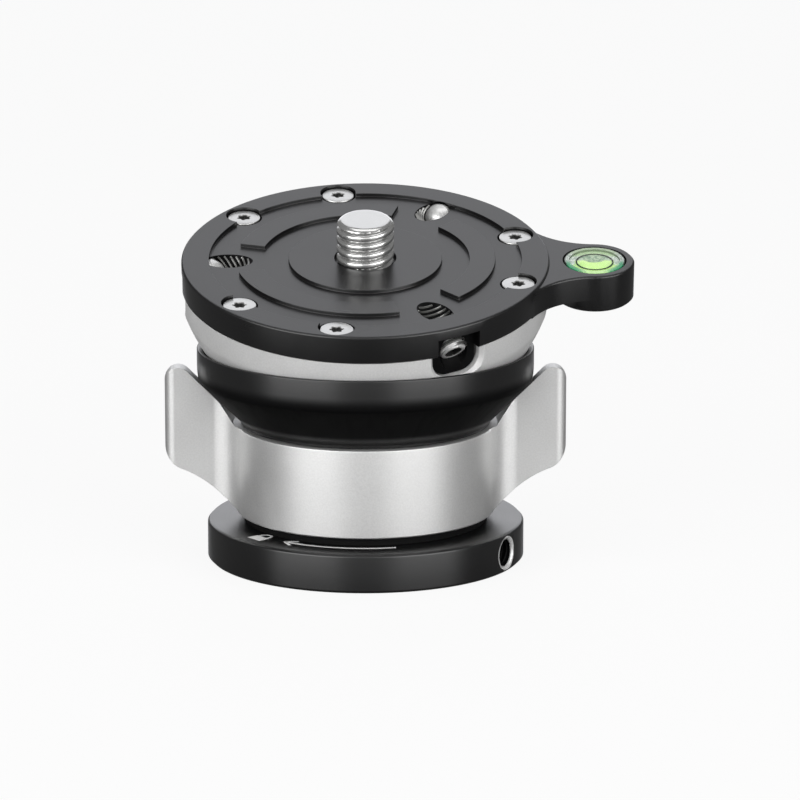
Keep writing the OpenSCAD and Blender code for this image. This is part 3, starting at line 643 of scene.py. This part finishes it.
def build_plate_screws():
    """Each screw is turned a little further than the one before, so that no two sockets stand alike."""
    socket = lobed(0.94, 0.14)
    mouth = lobed(1.06, 0.14)
    rings = [
        (0, SCREW_TAIL), (SCREW_R - 0.3, SCREW_TAIL), (SCREW_R, SCREW_TAIL + 0.3), (SCREW_R, SCREW_NECK),
        (SCREW_HEAD_R, SCREW_NECK), (SCREW_HEAD_R, SCREW_TOP - 0.2), (SCREW_HEAD_R - 0.06, SCREW_TOP - 0.06),
        (SCREW_HEAD_R - 0.2, SCREW_TOP), (mouth, SCREW_TOP), (socket, SCREW_TOP - 0.1),
        (socket, SCREW_TOP - 0.7), (0, SCREW_TOP - 0.85),
    ]
    bm = bmesh.new()
    for number, angle in enumerate(SCREW_ANGLES):
        turn = Matrix.Rotation(math.radians(angle), 4, "Z")
        out = Matrix.Translation((SCREW_CIRCLE_R * MM, 0, 0))
        twist = Matrix.Rotation(number * SCREW_TWIST, 4, "Z")
        add_turned(bm, rings, SCREW_COLUMNS, turn @ out @ twist)
    # Painted shade darkens the sockets
    steel = turned_metal("bright screw heads", (0.80, 0.80, 0.79), roughness=0.24, metal=0.9,
                         dark=head_socket_painted_shade)
    new_piece("plate_screws_socketed", bm, "head", steel, HEAD, ["plate_screws"])


# Set screws with hexagon sockets and threads

SET_PITCH = 0.8
SET_DEPTH = 0.22
SET_COLUMNS = 60
TIP_SCREW_R = 2.27
TIP_SCREW_LENGTH = 6
TIP_KEY = 2.5
BASE_SCREW_R = 1.94
BASE_SCREW_LENGTH = 10
BASE_SCREW_SUNK = 5
BASE_KEY = 2


def set_screw_rings(radius, length, key):
    """A set screw along +Z: its socket at 0 and a round tip at its far end."""
    socket = hexed(key)
    mouth = key / 2 / math.cos(TURN / 12) + 0.08
    start, end = 0.12, length - 0.7
    return [
        (0, 0.95 * key), (socket, 0.9 * key), (socket, start), (mouth, 0), (radius - 0.42, 0),
        (radius - 0.3, 0.04), *thread_rows(radius, SET_DEPTH, SET_PITCH, start, end, ends=0.25),
        (radius - 0.75, length - 0.4), (radius - 1.25, length - 0.1), (0, length),
    ]


def tip_place(angle):
    """A security screw's own frame in the head: Z points up and in along its hole."""
    turn = Matrix.Rotation(math.radians(angle), 4, "Z")
    start = Matrix.Translation((TIP_R * MM, 0, -TIP_DEEP * MM))
    return turn @ start @ Matrix.Rotation(TIP_SLOPE - TURN / 4, 4, "Y")


def base_hole_place(out):
    """A frame on the axis of the base plate's side hole, this far out: Z points in along the hole."""
    start = Matrix.Translation((out * MM, 0, HOLE_Z * MM))
    return Matrix.Rotation(HOLE_ANGLE, 4, "Z") @ start @ Matrix.Rotation(-TURN / 4, 4, "Y")


def build_set_screws():
    # Painted shade darkens the sockets
    bright = turned_metal("bright tip screws", (0.90, 0.90, 0.89), roughness=0.3, metal=0.55,
                          dark=in_tip_socket)
    for side, angle in TIP_SIDES.items():
        bm = bmesh.new()
        add_turned(bm, set_screw_rings(TIP_SCREW_R, TIP_SCREW_LENGTH, TIP_KEY), SET_COLUMNS)
        new_piece(f"security_screw_{side}_threaded", bm, f"screw_{side}", bright,
                  HEAD @ tip_place(angle), [f"security_screw_{side}"])
    bm = bmesh.new()
    add_turned(bm, set_screw_rings(BASE_SCREW_R, BASE_SCREW_LENGTH, BASE_KEY), SET_COLUMNS)
    black = turned_metal("black oxide steel", (0.10, 0.10, 0.10), roughness=0.35)
    new_piece("base_set_screw_threaded", bm, "base_set", black, base_hole_place(BASE_R - BASE_SCREW_SUNK),
              ["base_set_screw"])


# Threads in the walls of the tapped holes

RIDGE_STEPS = 48
RIDGE_H = 0.2
RIDGE_SUNK = 0.03
RIDGE_FOOT = 0.26
RIDGE_CREST = 0.05
RIDGE_END = 12
TIP_RIDGE_START = 0.4
TIP_RIDGE_TOP = PLATE_TOP - 0.66
BASE_RIDGE_START = 0.2
BASE_RIDGE_OUT = 25.2


def add_inner_thread(bm, place, radius, low, high, keep):
    """A helical ridge on a hole's wall, kept only where keep(point) holds."""
    count = round((high - low) / SET_PITCH * RIDGE_STEPS)
    foot, crest = radius + RIDGE_SUNK, radius - RIDGE_H
    shape = [(foot, -RIDGE_FOOT), (crest, -RIDGE_CREST), (crest, RIDGE_CREST), (foot, RIDGE_FOOT)]
    rows = []
    for k in range(count + 1):
        angle = TURN * k / RIDGE_STEPS
        middle = low + SET_PITCH * k / RIDGE_STEPS
        row = []
        for r, offset in shape:
            height = middle + offset * SET_PITCH
            row.append(place @ (Vector((r * math.cos(angle), r * math.sin(angle), height)) * MM))
        rows.append(row if all(keep(point) for point in row) else None)
    made = [row and [bm.verts.new(point) for point in row] for row in rows]
    for first, second in zip(made, made[1:]):
        if first and second:
            for i in range(len(shape)):
                j = (i + 1) % len(shape)
                bm.faces.new((first[i], first[j], second[j], second[i]))
    for before, row, after in zip([None, *made], made, [*made[1:], None]):
        if row and not (before and after):
            bm.faces.new(row if after is None else row[::-1])


def build_hole_threads():
    """The threads in the head end below the top plate's grooves; the base's starts behind its chamfer."""
    crests = turned_metal("bare crests of the tip threads", (0.34, 0.34, 0.33), roughness=0.3, in_head=True,
                          metal=0.9)
    for side, angle in TIP_SIDES.items():
        bm = bmesh.new()
        add_inner_thread(bm, tip_place(angle), TIP_HOLE_R, TIP_RIDGE_START, RIDGE_END,
                         lambda point: point.z < TIP_RIDGE_TOP * MM)
        bmesh.ops.transform(bm, matrix=HEAD, verts=bm.verts)
        new_piece(f"hole_thread_{side}", bm, "head", crests)
    bm = bmesh.new()
    add_inner_thread(bm, base_hole_place(BASE_RIDGE_OUT), HOLE_R, BASE_RIDGE_START, RIDGE_END,
                     lambda point: True)
    base = frame["nodes"]["base_plate"].material_slots[0].material
    new_piece("hole_thread_base", bm, "base", base)


# Fluid of the spirit level, with the bubble's hollow at its high side

FLUID_R = 4.18
FLUID_TOP = -3.42
FLUID_LOW = -6.78
BUBBLE_Y = 1.7
BUBBLE_R = 1.75
BUBBLE_DEEP = 0.5
FLUID_COLUMNS = 72
FLUID_STEPS = 42


def fluid_point(x, y):
    """A point of the fluid's top face, which dips under the bubble."""
    away = math.hypot(x, y - BUBBLE_Y) / BUBBLE_R
    dip = BUBBLE_DEEP * math.sqrt(max(0, 1 - away * away))
    return Vector((x, y, FLUID_TOP - dip)) * MM


def build_vial_fluid():
    bm = bmesh.new()
    angles = [TURN * c / FLUID_COLUMNS for c in range(FLUID_COLUMNS)]
    rows = []
    for k in range(1, FLUID_STEPS + 1):
        r = FLUID_R * k / FLUID_STEPS
        rows.append([bm.verts.new(fluid_point(r * math.cos(a), r * math.sin(a))) for a in angles])
    middle = bm.verts.new(fluid_point(0, 0))
    foot = [bm.verts.new(Vector((v.co.x, v.co.y, FLUID_LOW * MM))) for v in rows[-1]]
    for c in range(FLUID_COLUMNS):
        j = (c + 1) % FLUID_COLUMNS
        bm.faces.new((middle, rows[0][c], rows[0][j]))
        for inner, outer in zip(rows, rows[1:]):
            bm.faces.new((inner[c], outer[c], outer[j], inner[j]))
        bm.faces.new((rows[-1][c], foot[c], foot[j], rows[-1][j]))
    bm.faces.new(foot[::-1])
    new_piece("vial_fluid_with_bubble", bm, "head", vial_liquid("yellow-green fluid"),
              HEAD @ Matrix.Translation((LOBE_X * MM, 0, 0)), ["vial_fluid"])


# Print on the base plate: an arrow to a closed padlock; its angles are in degrees

PRINT_H = 0.03
ARROW_R = 21.5
ARROW_TAIL = -77
ARROW_TIP = -127.6
ARROW_STEPS = 40
ARROW_W = 0.5
BARB_OUT = 1.35
BARB_BACK = 5.2
LOCK_R = 22.1
LOCK_ANGLE = -140
LOCK_SCALE = 1.2
LOCK_HALF_W = 1.25
LOCK_LOW = -1.35
LOCK_HIGH = 0.35
SHACKLE_R = 0.85
SHACKLE_FOOT = 0.3
SHACKLE_BEND = 0.7
SHACKLE_STEPS = 16
SHACKLE_W = 0.42


def polar(radius, degrees):
    """A point at this distance from the base plate's axis, in this direction."""
    angle = math.radians(degrees)
    return Vector((radius * math.cos(angle), radius * math.sin(angle)))


def add_flat(bm, outline):
    """A thin flat shape on the base plate from its outline."""
    low = [bm.verts.new(Vector((p.x, p.y, BASE_H)) * MM) for p in outline]
    high = [bm.verts.new(Vector((p.x, p.y, BASE_H + PRINT_H)) * MM) for p in outline]
    bm.faces.new(high)
    bm.faces.new(low[::-1])
    for k in range(len(outline)):
        j = (k + 1) % len(outline)
        bm.faces.new((low[k], low[j], high[j], high[k]))


def stroke(points, width):
    """The outline of a line of this width through points."""
    left, right = [], []
    for k, point in enumerate(points):
        ahead = points[min(k + 1, len(points) - 1)] - points[max(k - 1, 0)]
        side = Vector((-ahead.y, ahead.x)).normalized() * (width / 2)
        left.append(point + side)
        right.append(point - side)
    return right + left[::-1]


def add_arrow(bm):
    """A line round the base plate, which stops a degree short of the tip, and its two barbs."""
    sweep = ARROW_TIP + 1 - ARROW_TAIL
    line = [polar(ARROW_R, ARROW_TAIL + sweep * k / ARROW_STEPS) for k in range(ARROW_STEPS + 1)]
    add_flat(bm, stroke(line, ARROW_W))
    for side in (-1, 1):
        barb = [polar(ARROW_R, ARROW_TIP), polar(ARROW_R + side * BARB_OUT, ARROW_TIP + BARB_BACK)]
        add_flat(bm, stroke(barb, ARROW_W))


def add_padlock(bm):
    """A padlock whose shackle points to the base plate's middle."""
    lock = polar(LOCK_R, LOCK_ANGLE)
    up = lock.normalized()
    along = Vector((-up.y, up.x))

    def spot(u, v):
        return lock + (along * u - up * v) * LOCK_SCALE

    add_flat(bm, [spot(LOCK_HALF_W, LOCK_LOW), spot(LOCK_HALF_W, LOCK_HIGH), spot(-LOCK_HALF_W, LOCK_HIGH),
                  spot(-LOCK_HALF_W, LOCK_LOW)])
    shackle = [spot(SHACKLE_R, SHACKLE_FOOT)]
    for k in range(SHACKLE_STEPS + 1):
        angle = math.pi * k / SHACKLE_STEPS
        shackle.append(spot(SHACKLE_R * math.cos(angle), SHACKLE_BEND + SHACKLE_R * math.sin(angle)))
    shackle.append(spot(-SHACKLE_R, SHACKLE_FOOT))
    add_flat(bm, stroke(shackle, SHACKLE_W))


def build_lock_print():
    bm = bmesh.new()
    add_arrow(bm)
    add_padlock(bm)
    bmesh.ops.recalc_face_normals(bm, faces=bm.faces)
    new_piece("lock_arrow_print", bm, "base", printed_ink("white ink", (0.85, 0.85, 0.84)))


build_camera_stud()
build_plate_screws()
build_set_screws()
build_hole_threads()
build_vial_fluid()
build_lock_print()


# Floor, light and camera, all placed in metres

FLOOR_R = 6

# Shares of the white background that show to the camera, to glossy faces and through glass
FLOOR_WHITE = (0.9, 0.06, 0.5)
WORLD_WHITE = (1, 0.04, 1)

LAMP_AIM = Vector((0, 0, 0.028))
COOL = (0.95, 0.96, 1.0)
SENSOR_WIDTH = 36
LENS = 219.6
CAMERA_AT = Vector((0, -780.9, 200.7)) * MM
CAMERA_AIM = Vector((5.65, 0, 26.0)) * MM


def new_floor():
    """A white floor that keeps the object's shadow; to glossy faces it is mostly dark and polished."""
    bm = bmesh.new()
    bmesh.ops.create_circle(bm, cap_ends=True, radius=FLOOR_R, segments=96)
    mesh = bpy.data.meshes.new("floor")
    bm.to_mesh(mesh)
    bm.free()
    floor = bpy.data.objects.new("floor", mesh)
    bpy.context.scene.collection.objects.link(floor)
    material, s = new_finish("white floor")
    camera = s.rays()[0]
    pale = s.add("BsdfDiffuse", inputs={"Color": grey(0.85)})
    polished = s.shader(Base_Color=grey(0.08), Roughness=0.2, IOR=1.6)
    white = s.add("Emission", inputs={"Color": grey(1), "Strength": 1.0})
    lit = s.add("MixShader", inputs={0: camera, 1: polished, 2: pale})
    shader = s.add("MixShader", inputs={0: s.white_share(FLOOR_WHITE), 1: lit, 2: white})
    s.add("OutputMaterial", inputs={"Surface": shader})
    mesh.materials.append(material)


def new_world():
    """White for the camera and through glass, and a grey room for nearly all other light."""
    world = bpy.data.worlds.new("studio")
    world.use_nodes = True
    s = Sheet(world.node_tree)
    room = s.add("Background", inputs={"Color": grey(0.12), "Strength": 1.0})
    white = s.add("Background", inputs={"Color": grey(1), "Strength": 1.0})
    shader = s.add("MixShader", inputs={0: s.white_share(WORLD_WHITE), 1: room, 2: white})
    s.add("OutputWorld", inputs={"Surface": shader})
    bpy.context.scene.world = world


def new_softbox(name, azimuth, elevation, distance, width, height, glow, colour=(1, 1, 1)):
    """A softbox aimed at the object: azimuth from the front, positive to the right, in degrees."""
    a, e = math.radians(azimuth), math.radians(elevation)
    away = Vector((math.sin(a) * math.cos(e), -math.cos(a) * math.cos(e), math.sin(e)))
    lamp = bpy.data.lights.new(name, "AREA")
    lamp.shape = "RECTANGLE"
    lamp.size, lamp.size_y = width, height
    lamp.energy = glow * math.pi * width * height
    lamp.color = colour
    box = bpy.data.objects.new(name, lamp)
    bpy.context.scene.collection.objects.link(box)
    box.location = LAMP_AIM + away * distance
    box.rotation_mode = "QUATERNION"
    box.rotation_quaternion = away.to_track_quat("Z", "Y")
    box.visible_camera = False


def new_camera():
    """The photo's view: a long lens from the front, a little above."""
    data = bpy.data.cameras.new("camera")
    data.sensor_width = SENSOR_WIDTH
    data.lens = LENS
    data.clip_start, data.clip_end = 0.05, 20
    camera = bpy.data.objects.new("camera", data)
    bpy.context.scene.collection.objects.link(camera)
    camera.location = CAMERA_AT
    camera.rotation_mode = "QUATERNION"
    camera.rotation_quaternion = (CAMERA_AIM - CAMERA_AT).to_track_quat("-Z", "Y")
    bpy.context.scene.camera = camera


new_floor()
new_world()
new_softbox("left softbox", azimuth=-44, elevation=18, distance=1.0, width=0.92, height=0.66, glow=3.45)
new_softbox("right softbox", azimuth=44, elevation=18, distance=1.0, width=0.92, height=0.66, glow=3.25)
new_softbox("front softbox", azimuth=0, elevation=16, distance=1.3, width=0.95, height=0.6, glow=1.0)
new_softbox("overhead softbox", azimuth=0, elevation=82, distance=1.3, width=1.3, height=0.7, glow=1.4)
new_softbox("back softbox", azimuth=180, elevation=34, distance=1.4, width=1.1, height=1.68, glow=0.9,
            colour=COOL)
new_softbox("low back softbox", azimuth=180, elevation=12, distance=1.4, width=1.1, height=0.36, glow=0.55,
            colour=COOL)
new_camera()
bpy.context.scene.view_settings.view_transform = "Standard"
